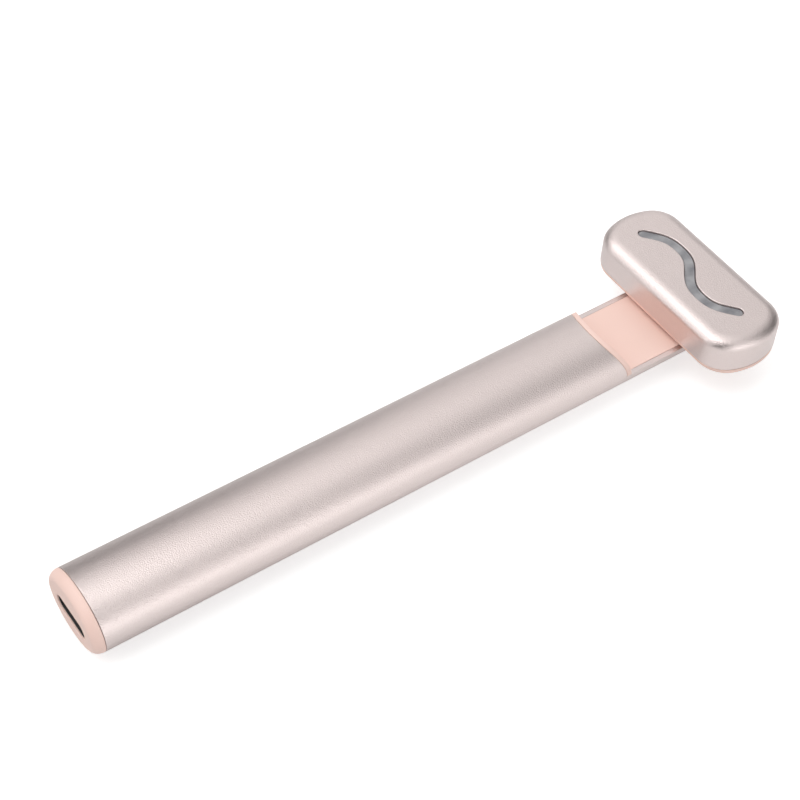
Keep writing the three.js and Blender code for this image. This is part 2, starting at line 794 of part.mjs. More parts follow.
// A spring ring that bows up and down three times round.
function waveWasher() {
  const segments = 36;
  const inner = studRadius + fit;
  const outer = washerRadius;
  const middle = ringTop + seat + waveWasherLift;
  const positions = [];
  const index = [];
  for (let i = 0; i < segments; i += 1) {
    const turn = (2 * Math.PI * i) / segments;
    const low = middle + waveWasherLift * Math.cos(3 * turn);
    for (const [r, z] of [[inner, 0], [outer, 0], [outer, waveWasherThickness], [inner, waveWasherThickness]]) {
      positions.push(r * Math.cos(turn), r * Math.sin(turn), low + z);
    }
    for (let k = 0; k < 4; k += 1) {
      const a = i * 4 + k;
      const b = i * 4 + (k + 1) % 4;
      const next = ((i + 1) % segments) * 4;
      index.push(a, b, next + k, b, next + (k + 1) % 4, next + k);
    }
  }
  const geometry = new THREE.BufferGeometry();
  geometry.setAttribute('position', new THREE.Float32BufferAttribute(positions, 3));
  geometry.setIndex(index.reverse());
  return solid(geometry);
}

function thrustWasher() {
  const [low, high] = [fit, headGap - fit];
  const inner = studRadius + fit;
  return turned([[inner, low], [washerRadius, low], [washerRadius, high], [inner, high], [inner, low]]);
}

// Head

function headShell() {
  const low = headLow + bandHeight + seam;
  return roundedHead(0, low, headTop, headEdge)
    .subtract(roundedHead(shellWall, low - 1, plateUnder, Math.max(headEdge - shellWall, 0.3)))
    .subtract(waveBand(windowWidth / 2, plateUnder - 1, headTop + 1));
}

function lightGuide() {
  return waveBand(windowWidth / 2 - seat, lipLow + guideLipHeight / 2, headTop - windowRecess)
    .add(waveBand(windowWidth / 2 + guideLip, lipLow, lipLow + guideLipHeight));
}

function headBase() {
  const rim = headLow + bandHeight;
  const spigot = shellWall + fit;
  const edge = edgeRound(bandEdge).reverse().map(([drawn, rise]) => [drawn, headLow + bandEdge - rise]);
  let body = headStack([...edge, [0, rim]], bandStep)
    .add(headPrism(spigot, rim - 0.1, baseTop + spigotHeight))
    .subtract(headPrism(spigot + baseWall, baseTop, baseTop + spigotHeight + 1));
  const postX = headWidth / 2 - shellWall - fit - baseWall - postSide;
  const postY = headLength / 2 - headCorner - 1;
  for (const sx of [-1, 1]) {
    for (const sy of [-1, 1]) {
      const post = chip([postSide, postSide, ledBoardLow - seat - baseTop + 0.2]);
      body = body.add(post.translate([sx * postX, sy * postY, baseTop - 0.2]));
    }
  }
  return body
    .subtract(disc(studRadius + seat, headLow - 1, baseTop + 1))
    .subtract(disc(stopPinRadius + seat, headLow - 1, baseTop - 0.3, 'z', 16).translate([stopRadius, 0, 0]))
    .subtract(disc(magnetRadius + seat, baseTop - magnetHeight - 0.1, baseTop + 1, 'z', 24)
      .translate([-magnetReach, 0, 0]));
}

function ledBoard() {
  return headPrism(shellWall + fit + ledBoardMargin, ledBoardLow, ledBoardTop);
}

function heaterFilm() {
  const top = plateUnder - seat;
  return headPrism(shellWall + filmMargin, top - filmThickness, top)
    .subtract(waveBand(windowWidth / 2 + guideLip + filmGap, top - 1, top + 1));
}

// A leaf on the LED board that bears on the inside of the shell's end wall.
function shellContact() {
  const wall = headLength / 2 - shellWall - fit;
  const boardEdge = headLength / 2 - shellWall - fit - ledBoardMargin;
  const low = ledBoardTop + seat;
  const t = fingerThickness;
  const outline = new THREE.Shape();
  outline.moveTo(boardEdge - fingerFoot, low);
  outline.lineTo(boardEdge - t, low);
  outline.lineTo(wall - t / 2, low + fingerRise * 0.5);
  outline.lineTo(wall, low + fingerRise * 0.75);
  outline.lineTo(wall - t / 2, low + fingerRise);
  outline.lineTo(wall - 1.5 * t, low + fingerRise - t / 2);
  outline.lineTo(wall - 1.4 * t, low + fingerRise * 0.6);
  outline.lineTo(boardEdge - 1.2 * t, low + t);
  outline.lineTo(boardEdge - fingerFoot, low + t);
  return prism(outline, 'x', -fingerWidth / 2, fingerWidth / 2);
}

// Assembly

const handle = group(wand, 0);
add(handle, 'handle_tube', handleTube(), roseAluminium);
add(handle, 'tail_cap', tailCap(), pinkPlastic);
add(handle, 'neck_insert', neckInsert(), pinkPlastic);
add(handle, 'chassis', chassis(), whitePlastic);
add(handle, 'chassis_screw', screw(chassisScrewLength), steel, [neckScrewX, 0, chassisScrewSeat - seat])
  .rotation.x = Math.PI;

add(handle, 'usb_shell', usbShell(), steel);
add(handle, 'usb_tongue', usbTongue(), blackPlastic);
add(handle, 'main_board', mainBoard(), greenBoard);
const onBoard = boardTop + seat;
add(handle, 'charge_chip', chip(chargeChipSize), blackPlastic, [boardStart + chargeChipX, -1.6, onBoard]);
add(handle, 'controller_chip', chip(controllerSize), blackPlastic, [boardStart + controllerX, 0, onBoard]);
add(handle, 'power_inductor', chip(inductorSize), rubberGrey, [boardStart + inductorX, 0.4, onBoard]);
[-1, 1].forEach((side, i) => {
  add(handle, `board_screw_${i + 1}`, screw(onBoard - boardScrewTip), steel,
    [boardScrewX, side * boardScrewY, onBoard]);
});

add(handle, 'battery_cell', batteryCell(), silverFoil);
add(handle, 'cell_pad', cellPad(), rubberGrey);
add(handle, 'battery_lead_red', batteryLead(1.6), redWire);
add(handle, 'battery_lead_black', batteryLead(-1.6), blackPlastic);
add(handle, 'motor_lead_1', motorLead(0), redWire);
add(handle, 'motor_lead_2', motorLead(1), blackPlastic);
add(handle, 'head_harness', headHarness(), blackPlastic);

const motor = group(handle, motorFront, motorAxis);
add(motor, 'motor_can', motorCan(), steel);
add(motor, 'motor_sleeve', motorSleeve(), rubberGrey);
add(motor, 'motor_shaft', disc(shaftRadius, -shaftDepth, weightGap + weightLength + 0.3, 'x', 16), steel);
add(motor, 'eccentric_weight', eccentricWeight(), brass);

const neck = group(handle, headCentre);
add(neck, 'neck_board', neckBoard(), greenBoard, [-neckBoardReach, 0, neckBoardLow]);
add(neck, 'hall_sensor', chip(sensorSize), blackPlastic,
  [-magnetReach, 0, neckBoardLow - seat - sensorSize[2]]);
add(neck, 'thrust_washer', thrustWasher(), whitePlastic);
add(neck, 'wave_washer', waveWasher(), steel);

const head = group(wand, headCentre);
add(head, 'swivel_stud', swivelStud(), brass);
add(head, 'retaining_ring', retainingRing(), steel);
add(head, 'stop_pin', disc(stopPinRadius, -stopPinDepth, baseTop - 0.4, 'z', 16), steel, [stopRadius, 0, 0]);
add(head, 'sense_magnet', disc(magnetRadius, baseTop - magnetHeight, baseTop - seat, 'z', 24), steel,
  [-magnetReach, 0, 0]);
add(head, 'head_base', headBase(), pinkPlastic);
add(head, 'head_shell', headShell(), roseAluminium);
add(head, 'light_guide', lightGuide(), greyGuide);
add(head, 'led_board', ledBoard(), greenBoard);
for (let i = 0; i < ledCount; i += 1) {
  const y = waveShift + ledShift + (i - (ledCount - 1) / 2) * ledPitch;
  add(head, `led_${i + 1}`, chip(ledSize), whitePlastic, [waveAt(y), y, ledBoardTop + seat]);
}
add(head, 'heater_film', heaterFilm(), amberFilm);
add(head, 'thermistor', chip(thermistorSize), copper,
  [thermistorReach, waveShift - wavePitch / 4, plateUnder - 2 * seat - filmThickness - thermistorSize[2]]);
add(head, 'shell_contact', shellContact(), copper);

const length = edgeBulge + headCentre + headWidth / 2;
wand.position.set(edgeBulge - length / 2, 0, handleHeight / 2);

export default wand;
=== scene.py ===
"""Looks of a heated eye massager wand: a sandblasted aluminium handle, pale pink mouldings and a swivel head."""

import json
import math

import bmesh
import bpy
from mathutils import Matrix, Vector


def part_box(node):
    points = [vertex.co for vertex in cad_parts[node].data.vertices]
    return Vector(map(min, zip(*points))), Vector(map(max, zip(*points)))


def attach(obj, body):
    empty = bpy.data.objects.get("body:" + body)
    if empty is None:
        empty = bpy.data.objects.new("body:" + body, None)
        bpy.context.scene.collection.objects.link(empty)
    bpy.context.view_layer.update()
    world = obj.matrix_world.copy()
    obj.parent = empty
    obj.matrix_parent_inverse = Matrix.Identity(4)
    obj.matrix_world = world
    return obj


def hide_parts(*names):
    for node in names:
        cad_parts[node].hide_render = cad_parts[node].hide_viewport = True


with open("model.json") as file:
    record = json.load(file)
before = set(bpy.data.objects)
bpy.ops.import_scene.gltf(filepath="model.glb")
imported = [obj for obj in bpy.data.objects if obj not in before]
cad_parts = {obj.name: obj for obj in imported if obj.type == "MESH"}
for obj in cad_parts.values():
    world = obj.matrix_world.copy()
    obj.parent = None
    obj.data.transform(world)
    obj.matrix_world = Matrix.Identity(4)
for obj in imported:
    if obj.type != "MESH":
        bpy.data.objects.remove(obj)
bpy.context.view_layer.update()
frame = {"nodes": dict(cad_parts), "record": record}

# Sizes in millimetres. X runs from the tail rim of the tube to the head, Y is across, and Z is 0 on the lap plane.

TUBE_HALF = (9.0, 6.5)  # half of the tube's width and height
TUBE_WALL = 1.05
CROWN = 110.15  # the deepest point of the arc cut, in the middle of the tube
SHOULDER_RADIUS = 13.2  # of the arc cut
BAND = 1.1  # how wide the pink band is that follows the arc
SEAM = 0.07  # the gap that shows as a dark line between two pieces
EDGE_BULGE = 2.15  # how far the tail cap and the nose stand out from the tube's ends
EDGE_INSET = 1.6  # how far their rounded edges draw in

HEAD_X = CROWN + 25.8  # the pivot, in the middle of the head
HEAD_LENGTH = 41.6
HEAD_WIDTH = 18.0
HEAD_CORNER = 6.3  # radius of the corners in plan
HEAD_BOW = 13.1  # radius of the bowed ends in plan
HEAD_LOW = 0.7
HEAD_TOP = 8.84
HEAD_EDGE = 2.15  # how high the rounded upper edge is
HEAD_EDGE_IN = 2.9  # how far it draws in
HEAD_BAND = 1.0  # how much of the pink base shows under the cover
BAND_STEP = 0.25  # how far the base stands back at the long sides
BAND_EDGE = 0.4  # rounding of the base's lower edge
SHELL_WALL = 1.0
SHELL_TOP = 0.9
NOSE_END = HEAD_X + HEAD_WIDTH / 2 - 0.45
TUBE_FRONT = NOSE_END - EDGE_BULGE

# The light window follows a sine with a little of its third harmonic.
WAVE = {"swing": 2.8, "third": 0.195, "pitch": 24.9, "span": 26.86, "shift": 0.41}
WINDOW = 2.15
WINDOW_RECESS = 0.3

PORT = {"width": 9.9, "height": 3.4, "z": -0.6}
SLOT_ROUND = 0.22
SOCKET = {"width": 8.94, "height": 3.2, "wall": 0.3, "front": -0.5, "rear": 5.25}

PAST = 1.0  # how far a cutting tool reaches past what it cuts

# How finely rounds are drawn: points round an oval and a pillar, and steps along each arc.
AROUND = 144
PILLAR_AROUND = 48
RECESS_STEPS = 96
HEAD_CORNER_STEPS = 14
HEAD_BOW_STEPS = 6
WAVE_STEPS = 72
WAVE_END_STEPS = 12
SLOT_END_STEPS = 12
END_EDGE_STEPS = 12
HEAD_EDGE_STEPS = 14
GUIDE_EDGE_STEPS = 5
SMALL_EDGE_STEPS = 6
CREASE_DEGREES = 38  # an edge that turns by more than this counts as sharp
EDGE_SEGMENTS = 2
FACE_WEIGHT = 80  # above 50, large faces count for more in the shading

tube_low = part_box("handle_tube")[0]
ORIGIN = Vector((tube_low.x, 0, tube_low.z + TUBE_HALF[1] / 1000))


def at(x, y, z):
    """A point given in millimetres as a place in the model's frame, in metres."""
    return ORIGIN + Vector((x, y, z)) / 1000


# Mesh tools

def new_object(name, data):
    """An object with this mesh, lamp or camera, linked to the scene."""
    made = bpy.data.objects.new(name, data)
    bpy.context.scene.collection.objects.link(made)
    return made


def body_of(name, verts, faces):
    """A mesh object from points in millimetres, with its faces turned outwards."""
    mesh = bpy.data.meshes.new(name)
    mesh.from_pydata([at(*v) for v in verts], [], faces)
    work = bmesh.new()
    work.from_mesh(mesh)
    bmesh.ops.recalc_face_normals(work, faces=work.faces)
    work.to_mesh(mesh)
    work.free()
    return new_object(name, mesh)


def loft(name, rings, ends=True):
    """A closed body through rings of equally many points. Without ends the last ring joins the first."""
    count = len(rings[0])
    verts = [v for ring in rings for v in ring]
    faces = []
    pairs = [(r, r + 1) for r in range(len(rings) - 1)]
    if not ends:
        pairs.append((len(rings) - 1, 0))
    for a, b in pairs:
        for i in range(count):
            j = (i + 1) % count
            faces.append((a * count + i, a * count + j, b * count + j, b * count + i))
    if ends:
        faces.append(tuple(range(count)))
        faces.append(tuple(range((len(rings) - 1) * count, len(rings) * count)))
    return body_of(name, verts, faces)


def box(name, xs, ys, zs):
    """A block between two values along each axis."""
    (y0, y1), (z0, z1) = ys, zs
    return loft(name, [[(x, y0, z0), (x, y1, z0), (x, y1, z1), (x, y0, z1)] for x in xs])


def pillar(name, x, y, radius, low, high):
    """An upright round bar."""
    turns = [2 * math.pi * i / PILLAR_AROUND for i in range(PILLAR_AROUND)]
    return loft(name, [[(x + radius * math.cos(turn), y + radius * math.sin(turn), z) for turn in turns]
                       for z in (low, high)])


def settle(piece):
    """Turns the modifiers of a piece into plain mesh."""
    seen = piece.evaluated_get(bpy.context.evaluated_depsgraph_get())
    mesh = bpy.data.meshes.new_from_object(seen)
    piece.modifiers.clear()
    piece.data = mesh


def carve(piece, tool, operation="DIFFERENCE"):
    """Cuts a piece with a tool, or joins the tool to it, and removes the tool."""
    step = piece.modifiers.new("carve", "BOOLEAN")
    step.operation = operation
    step.solver = "EXACT"
    step.object = tool
    settle(piece)
    bpy.data.objects.remove(tool)


def shade(piece):
    """Shades a piece as a smooth moulding, with its large faces kept flat."""
    piece.data.shade_smooth()
    step = piece.modifiers.new("normals", "WEIGHTED_NORMAL")
    step.weight = FACE_WEIGHT
    step.keep_sharp = False
    settle(piece)


def soften(piece, width):
    """Breaks the sharp edges of a piece by width millimetres and shades it."""
    step = piece.modifiers.new("edges", "BEVEL")
    step.width = width / 1000
    step.segments = EDGE_SEGMENTS
    step.limit_method = "ANGLE"
    step.angle_limit = math.radians(CREASE_DEGREES)
    step.miter_outer = "MITER_ARC"
    settle(piece)
    shade(piece)


# Outlines

def oval(half, x):
    """The ellipse at x that is as wide and as high as twice the two halves."""
    return [(x, half[0] * math.cos(2 * math.pi * i / AROUND), half[1] * math.sin(2 * math.pi * i / AROUND))
            for i in range(AROUND)]


def inset(half, by):
    """The two halves of an oval that lies this far inside another."""
    return (half[0] - by, half[1] - by)


def quarter(steps):
    """Pairs of how far an edge draws in and rises, as shares, along a quarter of a round."""
    return [(1 - math.cos(i / steps * math.pi / 2), math.sin(i / steps * math.pi / 2)) for i in range(steps + 1)]


def arc_x(y, shift=0.0):
    """Where the arc cut of the tube lies at y. Shift moves it towards the head."""
    return CROWN + shift + SHOULDER_RADIUS - math.sqrt(SHOULDER_RADIUS ** 2 - y ** 2)


def head_ring(z, drawn_in=0.0, step=0.0):
    """The plan of the head at height z: straight sides, bowed ends and round corners.

    Drawn_in takes it in all round, and step takes in the long sides some more."""
    smallest_corner = 0.2
    bow = HEAD_BOW - drawn_in
    corner = max(HEAD_CORNER - drawn_in, smallest_corner)
    half = HEAD_WIDTH / 2 - drawn_in - step
    lean = math.asin((half - corner) / (bow - corner))
    bow_y = HEAD_LENGTH / 2 - HEAD_BOW
    corner_y = bow_y + (bow - corner) * math.cos(lean)
    front = []
    for i in range(HEAD_CORNER_STEPS + 1):
        turn = i / HEAD_CORNER_STEPS * (math.pi / 2 - lean)
        front.append((half - corner + corner * math.cos(turn), corner_y + corner * math.sin(turn)))
    for i in range(1, HEAD_BOW_STEPS + 1):
        turn = math.pi / 2 - lean * (1 - i / HEAD_BOW_STEPS)
        front.append((bow * math.cos(turn), bow_y + bow * math.sin(turn)))
    back = front[-2::-1]
    plan = front + [(-x, y) for x, y in back] + [(-x, -y) for x, y in front] + [(x, -y) for x, y in back]
    return [(HEAD_X + x, y, z) for x, y in plan]


def wave_x(y):
    """Where the middle line of the light window lies at y."""
    turn = 2 * math.pi * (y - WAVE["shift"]) / WAVE["pitch"]
    return HEAD_X + WAVE["swing"] * math.sin(turn) + WAVE["third"] * math.sin(3 * turn)


def wave_ring(half_width, z):
    """The outline of the light window, half_width to each side of its wave, with round ends."""
    step = WAVE["span"] / WAVE_STEPS
    low = WAVE["shift"] - WAVE["span"] / 2
    right_angle = math.pi / 2

    def heading(y):
        return math.atan2(2 * step, wave_x(y + step) - wave_x(y - step))

    def beside(y, turn):
        return (wave_x(y) + half_width * math.cos(turn), y + half_width * math.sin(turn), z)

    places = [low + i * step for i in range(WAVE_STEPS + 1)]
    high = places[-1]
    round_end = [math.pi * i / WAVE_END_STEPS for i in range(1, WAVE_END_STEPS)]
    ring = [beside(y, heading(y) - right_angle) for y in places]
    ring += [beside(high, heading(high) - right_angle + turn) for turn in round_end]
    ring += [beside(y, heading(y) + right_angle) for y in reversed(places)]
    ring += [beside(low, heading(low) + right_angle + turn) for turn in round_end]
    return ring


def slot_ring(x, size, drawn_in):
    """The outline at x of the charging slot or of a piece in it, drawn in all round: straight with half-round ends."""
    radius = (size["height"] - 2 * drawn_in) / 2
    reach = (size["width"] - 2 * drawn_in) / 2 - radius
    ring = []
    for side, start in ((1, -0.5), (-1, 0.5)):
        for i in range(SLOT_END_STEPS + 1):
            turn = (start + i / SLOT_END_STEPS) * math.pi
            ring.append((x, side * reach + radius * math.cos(turn), PORT["z"] + radius * math.sin(turn)))
    return ring


# Handle

def make_tube():
    """The oval tube, with the upper half cut back to an arc and the lower half left as a trough."""
    half = AROUND // 2
    skins = []
    verts = []
    for size in (TUBE_HALF, inset(TUBE_HALF, TUBE_WALL)):
        tail, upper, lower = {}, {}, {}
        for i, (_, y, z) in enumerate(oval(size, 0)):
            tail[i] = len(verts)
            verts.append((0, y, z))
            if i <= half:
                upper[i] = len(verts)
                verts.append((arc_x(y), y, 0 if i in (0, half) else z))
            if i >= half or i == 0:
                lower[i] = len(verts)
                verts.append((TUBE_FRONT, y, 0 if i in (0, half) else z))
        skins.append((tail, upper, lower))
    faces = []
    for tail, upper, lower in skins:
        for i in range(half):
            faces.append((tail[i], tail[i + 1], upper[i + 1], upper[i]))
        for i in range(half, AROUND):
            j = (i + 1) % AROUND
            face = [tail[i], tail[j], lower[j], lower[i]]
            if j == 0:
                face.insert(2, upper[0])
            if i == half:
                face.append(upper[half])
            faces.append(tuple(face))
    # The cut faces between the two skins: the tail rim, the arc, the front of the trough, and its two rails.
    (tail_a, upper_a, lower_a), (tail_b, upper_b, lower_b) = skins
    for i in range(AROUND):
        j = (i + 1) % AROUND
        faces.append((tail_a[i], tail_b[i], tail_b[j], tail_a[j]))
        if i < half:
            faces.append((upper_a[i], upper_b[i], upper_b[j], upper_a[j]))
        else:
            faces.append((lower_a[i], lower_b[i], lower_b[j], lower_a[j]))
    for i in (0, half):
        faces.append((upper_a[i], lower_a[i], lower_b[i], upper_b[i]))
    tube = body_of("tube_shell", verts, faces)
    soften(tube, width=0.09)
    return tube


def bulge(name, start, direction):
    """A body with a rounded edge that stands out from one end of the tube, a seam away from it."""
    thick = EDGE_BULGE - SEAM
    return loft(name, [oval(inset(TUBE_HALF, EDGE_INSET * draw), start + direction * (SEAM + thick * rise))
                       for draw, rise in quarter(END_EDGE_STEPS)])


def make_cap():
    """The moulded tail cap, with a plug inside the tube and the charging slot cut through."""
    cap = bulge("end_cap", 0, -1)
    play, wall, bevel = 0.15, 1.2, 0.25
    root, bevel_start, rear, room_root = -0.5, 3.2, 3.5, -0.3
    plug_half = inset(TUBE_HALF, TUBE_WALL + play)
    room = inset(plug_half, wall)
    plug = loft("plug", [oval(plug_half, root), oval(plug_half, bevel_start),
                         oval(inset(plug_half, bevel), rear), oval(room, rear), oval(room, room_root)])
    carve(cap, plug, "UNION")
    mouth = [(-EDGE_BULGE + SLOT_ROUND * (1 - rise), SLOT_ROUND * draw) for draw, rise in quarter(SMALL_EDGE_STEPS)]
    cutter = [(2 * PAST, 0)] + mouth + [(-EDGE_BULGE - PAST, SLOT_ROUND)]
    carve(cap, loft("slot", [slot_ring(x, PORT, -out) for x, out in cutter]))
    soften(cap, width=0.1)
    return cap


def make_receptacle():
    """The stamped shell of the charging receptacle, with its mouth rolled round."""
    front, rear, wall = SOCKET["front"], SOCKET["rear"], SOCKET["wall"]
    roll = wall / 2
    turns = [math.pi * i / SMALL_EDGE_STEPS for i in range(SMALL_EDGE_STEPS + 1)]
    mouth = [(front + roll - roll * math.sin(turn), wall - roll + roll * math.cos(turn)) for turn in turns]
    profile = [(rear, wall)] + mouth + [(rear, 0)]
    shell = loft("receptacle_shell", [slot_ring(x, SOCKET, wall - out) for x, out in profile], ends=False)
    shade(shell)
    return shell


def make_slot_shade_filler():
    """A dark filler that fills the slot round the mouth of the receptacle, down to its shell.
    Its black is painted shade for the dark inside of the slot.
    """
    play, edge, sunk, overlap = 0.02, 0.08, 0.08, 0.05
    face = SLOT_ROUND - EDGE_BULGE + sunk
    rear = SOCKET["front"] - overlap
    # Places along the slot, and how far in from its wall: the outside, the face, and the funnel to the receptacle.
    profile = [(rear, 0), (face + edge, 0), (face, edge), (face, 0.3), (face + 0.3, 0.36), (rear, 0.6)]
    shade_filler = loft("slot_shade_filler", [slot_ring(x, PORT, play + step) for x, step in profile], ends=False)
    soften(shade_filler, width=0.03)
    return shade_filler


def make_tongue():
    """The nylon tongue in the receptacle, on its solid block, with a tapered nose."""
    block_length, play, overlap = 2.6, 0.05, 0.1
    nose, taper = -1.2, 0.5
    rear = SOCKET["rear"]
    block = rear - block_length
    tongue = loft("receptacle_tongue", [slot_ring(x, SOCKET, SOCKET["wall"] + play) for x in (block, rear)])
    # Places along the blade, with half of its width and height there.
    sections = [(nose, 3.1, 0.2), (nose + taper, 3.35, 0.35), (block + overlap, 3.35, 0.35)]
    blade = loft("blade", [[(x, y, PORT["z"] + z) for y, z in ((-w, -h), (w, -h), (w, h), (-w, h))]
                           for x, w, h in sections])
    carve(tongue, blade, "UNION")
    soften(tongue, width=0.04)
    return tongue


def make_contacts():
    """The row of twelve gold contacts on each side of the tongue, half a millimetre apart."""
    count, pitch, half_width = 12, 0.5, 0.14
    sunk, proud = 0.33, 0.4
    front, block_length = -0.6, 2.7
    rear = SOCKET["rear"] - block_length
    section = ((-half_width, sunk), (half_width, sunk), (half_width, proud), (-half_width, proud))
    verts, faces = [], []
    for side in (-1, 1):
        for i in range(count):
            middle = (i - (count - 1) / 2) * pitch
            first = len(verts)
            verts += [(x, middle + y, PORT["z"] + side * z) for x in (front, rear) for y, z in section]
            a = [first + k for k in range(8)]
            faces += [(a[0], a[1], a[2], a[3]), (a[4], a[5], a[6], a[7])]
            faces += [(a[k], a[(k + 1) % 4], a[4 + (k + 1) % 4], a[4 + k]) for k in range(4)]
    contacts = body_of("receptacle_contacts", verts, faces)
    soften(contacts, width=0.02)
    return contacts


def recess(shift, low):
    """A tool with the shape of the space in front of the arc cut, from low upwards."""
    front, reach, high = NOSE_END + 3 * PAST, 9.6, 12
    plan = [(front, -reach), (front, reach)]
    for i in range(RECESS_STEPS + 1):
        y = reach * math.cos(math.pi * i / RECESS_STEPS)
        plan.append((arc_x(y, shift), y))
    return loft("recess", [[(x, y, z) for x, y in plan] for z in (low, high)])


def make_neck():
    """The pink neck moulding: band, bulkhead, deck and nose."""
    side_play, low_play, wall, overlap = 0.03, 0.15, 1.3, 0.3
    plug_length, room_depth, band_depth = 8, 6, 8
    trough_half, trough_low, trough_roof, nose_wall = 6.3, -9, -2, 1.6
    wide, high = 12, 12
    bore = inset(TUBE_HALF, TUBE_WALL)
    inner = (bore[0] - side_play, bore[1] - low_play)
    room = inset(inner, wall)
    start = CROWN + BAND - plug_length
    neck = loft("neck_moulding", [oval(inner, start), oval(inner, TUBE_FRONT + overlap)])
    carve(neck, recess(BAND, 0))
    band = loft("band", [oval(TUBE_HALF, CROWN - PAST), oval(TUBE_HALF, CROWN + band_depth)])
    carve(band, recess(SEAM, SEAM), "INTERSECT")
    carve(band, recess(BAND, -PAST))
    carve(neck, band, "UNION")
    carve(neck, loft("plug_room", [oval(room, start - PAST), oval(room, start + room_depth)]))
    carve(neck, box("trough", (start - PAST, NOSE_END - nose_wall), (-trough_half, trough_half),
                    (trough_low, trough_roof)))
    nose = bulge("nose", TUBE_FRONT, 1)
    carve(nose, box("above", (TUBE_FRONT - PAST, NOSE_END + 2 * PAST), (-wide, wide), (0, high)))
    carve(neck, nose, "UNION")
    carve(neck, pillar("bearing", HEAD_X, 0, radius=3.3, low=-3, high=PAST))
    soften(neck, width=0.05)
    return neck


# Head

def make_head_shell():
    """The metal cover of the head with a rounded upper edge and the wave-shaped window."""
    low = HEAD_LOW + HEAD_BAND + SEAM
    under = HEAD_TOP - SHELL_TOP
    inner_edge = HEAD_EDGE - SHELL_WALL
    outside = [head_ring(low)] + [head_ring(HEAD_TOP - HEAD_EDGE * (1 - rise), HEAD_EDGE_IN * draw)
                                  for draw, rise in quarter(HEAD_EDGE_STEPS)]
    inside = [head_ring(low, SHELL_WALL)] + [head_ring(under - inner_edge * (1 - rise), SHELL_WALL + inner_edge * draw)
                                             for draw, rise in quarter(SMALL_EDGE_STEPS)]
    shell = loft("head_cover", outside[::-1] + inside)
    carve(shell, loft("window", [wave_ring(WINDOW / 2, under - 2 * PAST), wave_ring(WINDOW / 2, HEAD_TOP + PAST)]))
    soften(shell, width=0.17)
    return shell


def make_head_base():
    """The pink base of the head: a floor with a spigot that goes into the cover, hollow, with the stud's hole."""
    play, wall, overlap = 0.15, 1, 0.3
    floor_top, spigot_top, clear = 2.3, 3.6, 5
    rim = HEAD_LOW + HEAD_BAND
    spigot = SHELL_WALL + play
    edge = [head_ring(HEAD_LOW + BAND_EDGE * (1 - rise), BAND_EDGE * draw, BAND_STEP)
            for draw, rise in reversed(quarter(SMALL_EDGE_STEPS))]
    base = loft("head_floor", edge + [head_ring(rim, 0, BAND_STEP)])
    carve(base, loft("spigot", [head_ring(rim - overlap, spigot), head_ring(spigot_top, spigot)]), "UNION")
    carve(base, loft("room", [head_ring(z, spigot + wall) for z in (floor_top, clear)]))
    carve(base, pillar("stud_hole", HEAD_X, 0, radius=3.25, low=0, high=4))
    soften(base, width=0.07)
    return base


def make_guide():
    """The frosted bar that fills the window, with its flange below the cover."""
    play, flange_width, flange_height, edge = 0.05, 0.95, 0.8, 0.22
    half = WINDOW / 2 - play
    flange_top = HEAD_TOP - SHELL_TOP - play
    top = HEAD_TOP - WINDOW_RECESS
    rings = [wave_ring(half + flange_width, flange_top - flange_height), wave_ring(half + flange_width, flange_top),
             wave_ring(half, flange_top)]
    rings += [wave_ring(half - edge * draw, top - edge * (1 - rise)) for draw, rise in quarter(GUIDE_EDGE_STEPS)]
    guide = loft("window_bar", rings)
    shade(guide)
    return guide


# Materials

def linear(hex_colour):
    """The linear colour of an sRGB hex value such as d9cac6."""
    parts = [int(hex_colour[i:i + 2], 16) / 255 for i in (0, 2, 4)]
    return tuple(c / 12.92 if c <= 0.04045 else ((c + 0.055) / 1.055) ** 2.4 for c in parts) + (1.0,)


def per_mm(size):
    """The scale that gives a noise, cell or brick pattern in object coordinates a grain of this many millimetres."""
    return 1000 / size


def bands_per_mm(pitch):
    """The scale that gives a wave pattern in object coordinates one band in this many millimetres. The pattern turns
    by 20 radians in a unit."""
    return 1000 * 2 * math.pi / (20 * pitch)


def feed(tree, node, **inputs):
    """Sets inputs of a node, by name or, as i0 or i1, by place: each to a value, or linked to (node, output)."""
    for key, value in inputs.items():
        slot = node.inputs[int(key[1:]) if key[0] == "i" and key[1:].isdigit() else key.replace("_", " ")]
        if isinstance(value, tuple) and isinstance(value[0], bpy.types.Node):
            tree.links.new(value[0].outputs[value[1]], slot)
        else:
            slot.default_value = value


def add(tree, kind, settings=None, **inputs):
    """Adds a node with its settings and inputs. A mix of two colours takes them in i6 and i7 and gives output 2."""
    made = tree.nodes.new(kind)
    for key, value in (settings or {}).items():
        setattr(made, key, value)
    feed(tree, made, **inputs)
    return made


def new_material(name, roughness, metallic=0.0, ior=1.5, colour=None):
    """A material with its plain values set, and its node tree, shader and object coordinates."""
    material = bpy.data.materials.new(name)
    material.use_nodes = True
    tree = material.node_tree
    shader = tree.nodes["Principled BSDF"]
    feed(tree, shader, Roughness=roughness, Metallic=metallic, IOR=ior)
    if colour:
        feed(tree, shader, Base_Color=linear(colour))
    return material, tree, shader, (add(tree, "ShaderNodeTexCoord"), "Object")


